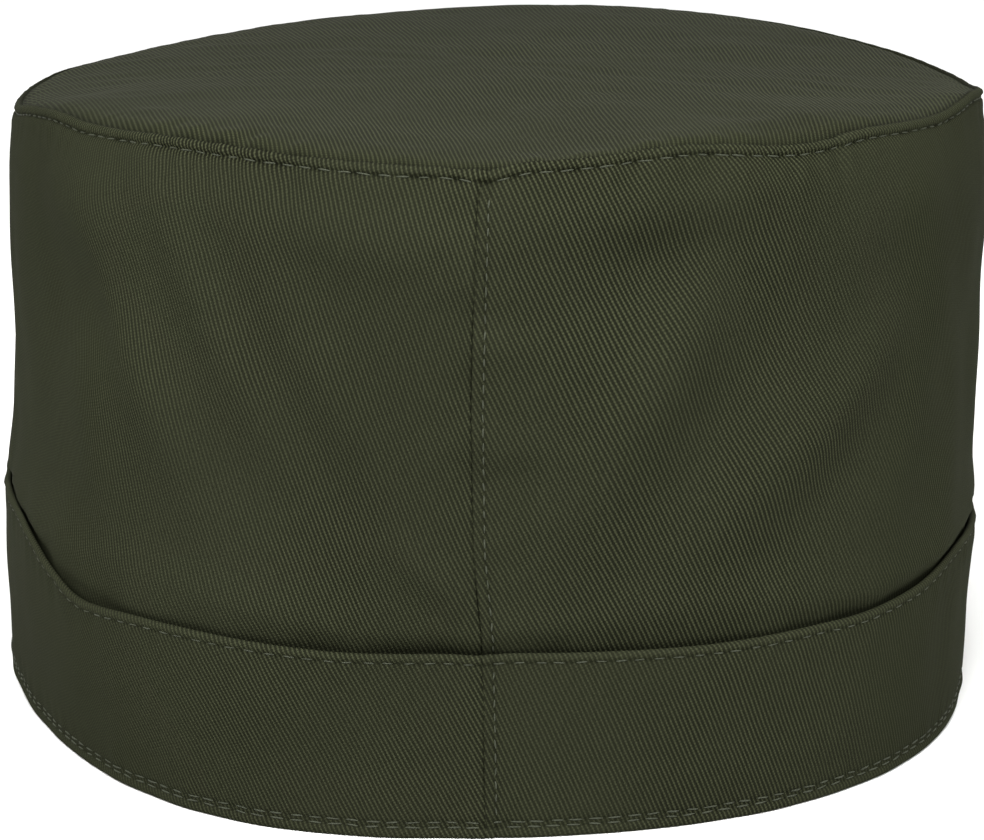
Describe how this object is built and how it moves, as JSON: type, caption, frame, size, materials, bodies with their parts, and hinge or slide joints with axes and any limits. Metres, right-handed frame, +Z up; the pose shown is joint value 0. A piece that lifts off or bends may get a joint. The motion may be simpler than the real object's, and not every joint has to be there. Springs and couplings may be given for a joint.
{
  "type": "fatigue cap",
  "caption": "Soft cloth cap with a flat oval crown, an upright side closed by a back seam, a turned-up band round its foot and a short stiff peak, hollow for the head.",
  "frame": {"origin": "middle of the head opening, on the plane that the rim rests on", "axes": "+Z up through the crown, +Y towards the back seam, so the peak points along -Y, and +X towards the wearer's left"},
  "size_m": [0.1837, 0.2644, 0.1126],
  "materials": {
    "crown_twill": "dark olive drab cotton twill, matt, slightly creased",
    "band_twill": "dark olive drab cotton twill, doubled and topstitched",
    "peak_twill": "dark olive drab cotton twill over a stiffener, topstitched in rows"
  },
  "bodies": {
    "root": {"crown_side": "crown_twill", "crown_top": "crown_twill", "band": "band_twill", "peak": "peak_twill"}
  },
  "joints": []
}
